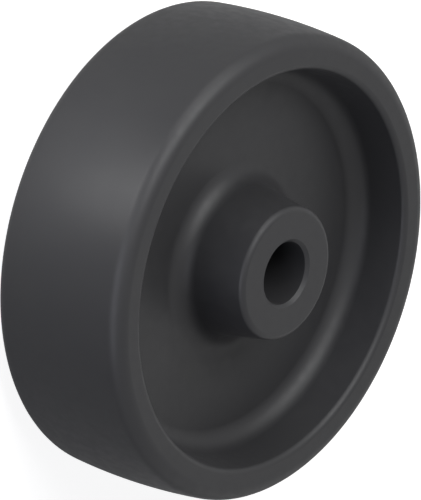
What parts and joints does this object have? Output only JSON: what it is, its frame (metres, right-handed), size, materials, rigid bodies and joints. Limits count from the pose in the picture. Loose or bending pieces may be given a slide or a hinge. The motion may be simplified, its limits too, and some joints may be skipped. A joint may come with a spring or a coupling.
{
  "type": "plastic wheel",
  "caption": "Moulded plastic castor wheel with a slightly crowned tread, a solid web recessed on both sides, and a tapered hub with a plain axle bore.",
  "frame": {"origin": "centre of the wheel, on the axis of the axle bore and midway through the web", "axes": "+Z along the axle bore; X and Y lie in the web's middle plane; the wheel lies on its side and rests on the lower end of its hub"},
  "size_m": [0.15, 0.15, 0.06],
  "materials": {
    "moulded_plastic": "dark grey-black polyamide, moulded, with a fine satin texture"
  },
  "bodies": {
    "root": {"wheel": "moulded_plastic"}
  },
  "joints": []
}
